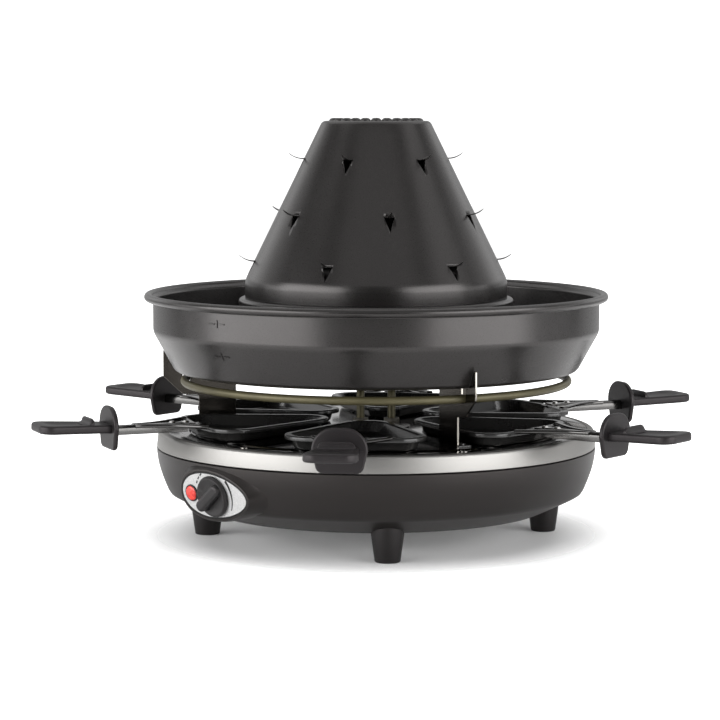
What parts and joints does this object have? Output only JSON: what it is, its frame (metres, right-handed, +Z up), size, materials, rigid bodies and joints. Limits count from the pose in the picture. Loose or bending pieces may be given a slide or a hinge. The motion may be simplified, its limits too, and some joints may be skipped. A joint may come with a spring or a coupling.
{
  "type": "raclette grill",
  "caption": "Round electric table raclette grill: a ring heater over pull-out small pans, a lift-off broth pan above it and a spiked conical grilling hat.",
  "frame": {"origin": "on the table, under the centre axis of the base", "axes": "+Z up along the axis of the hat, -Y towards the front, +X to the right as seen from the front"},
  "size_m": [0.5406, 0.5766, 0.3408],
  "materials": {
    "housing_plastic": "satin moulded",
    "foot_plastic": "satin moulded",
    "cover_steel": "plain sheet",
    "ring_chrome": "polished",
    "tray_steel": "mirror polished",
    "bracket_steel": "polished sheet",
    "screw_steel": "plated",
    "heater_sheath": "annealed olive sheath",
    "panel_silver": "silver speckle",
    "knob_plastic": "satin moulded",
    "lamp_red": "clear red",
    "insulator": "moulded",
    "gland_rubber": "moulded",
    "wire_sleeve": "silicone sleeve",
    "pan_coating": "anthracite non-stick with fine sparkle",
    "dish_coating": "black non-stick",
    "stem_chrome": "polished",
    "grip_plastic": "fine moulded grain"
  },
  "bodies": {
    "base": {"base_housing": "housing_plastic", "bottom_cover": "cover_steel", "cover_screws": "screw_steel", "foot_front": "foot_plastic", "foot_right": "foot_plastic", "foot_back": "foot_plastic", "foot_left": "foot_plastic", "foot_screws": "screw_steel", "chrome_ring": "ring_chrome", "reflector_tray": "tray_steel", "tray_screws": "screw_steel", "heat_shield": "cover_steel", "control_panel": "panel_silver", "lamp_bezel": "knob_plastic", "lamp_lens": "lamp_red", "lamp_holder": "insulator", "thermostat_case": "insulator", "heater_tube": "heater_sheath", "heater_flange": "bracket_steel", "heater_bushes": "insulator", "heater_pins": "screw_steel", "bracket_1": "bracket_steel", "bracket_2": "bracket_steel", "bracket_3": "bracket_steel", "bracket_screws": "screw_steel", "terminal_block": "insulator", "cord_gland": "gland_rubber", "wiring": "wire_sleeve"},
    "knob": {"knob": "knob_plastic", "thermostat_shaft": "screw_steel"},
    "broth_pan": {"broth_pan": "pan_coating"},
    "hat": {"hat": "pan_coating"},
    "small_pan_1": {"dish_1": "dish_coating", "stem_1": "stem_chrome", "grip_1": "grip_plastic", "fixings_1": "screw_steel"},
    "small_pan_2": {"dish_2": "dish_coating", "stem_2": "stem_chrome", "grip_2": "grip_plastic", "fixings_2": "screw_steel"},
    "small_pan_3": {"dish_3": "dish_coating", "stem_3": "stem_chrome", "grip_3": "grip_plastic", "fixings_3": "screw_steel"},
    "small_pan_4": {"dish_4": "dish_coating", "stem_4": "stem_chrome", "grip_4": "grip_plastic", "fixings_4": "screw_steel"},
    "small_pan_5": {"dish_5": "dish_coating", "stem_5": "stem_chrome", "grip_5": "grip_plastic", "fixings_5": "screw_steel"},
    "small_pan_6": {"dish_6": "dish_coating", "stem_6": "stem_chrome", "grip_6": "grip_plastic", "fixings_6": "screw_steel"}
  },
  "joints": [
    {"name": "knob_turn", "type": "hinge", "parent": "base", "child": "knob", "pos_m": [-0.12476, -0.12696, 0.0495], "axis": [-0.6903, -0.7024, -0.1736], "range_deg": [-270, 0]},
    {"name": "broth_pan_lift", "type": "slide", "parent": "base", "child": "broth_pan", "axis": [0, 0, 1], "range_m": [0, 0.06]},
    {"name": "hat_lift", "type": "slide", "parent": "broth_pan", "child": "hat", "axis": [0, 0, 1], "range_m": [0, 0.1]},
    {"name": "small_pan_1_pull", "type": "slide", "parent": "base", "child": "small_pan_1", "axis": [-0.1167, -0.9932, 0], "range_m": [0, 0.15]},
    {"name": "small_pan_2_pull", "type": "slide", "parent": "base", "child": "small_pan_2", "axis": [0.8018, -0.5976, 0], "range_m": [0, 0.15]},
    {"name": "small_pan_3_pull", "type": "slide", "parent": "base", "child": "small_pan_3", "axis": [0.9184, 0.3955, 0], "range_m": [0, 0.15]},
    {"name": "small_pan_4_pull", "type": "slide", "parent": "base", "child": "small_pan_4", "axis": [0.1167, 0.9932, 0], "range_m": [0, 0.15]},
    {"name": "small_pan_5_pull", "type": "slide", "parent": "base", "child": "small_pan_5", "axis": [-0.8018, 0.5976, 0], "range_m": [0, 0.15]},
    {"name": "small_pan_6_pull", "type": "slide", "parent": "base", "child": "small_pan_6", "axis": [-0.9184, -0.3955, 0], "range_m": [0, 0.15]}
  ]
}
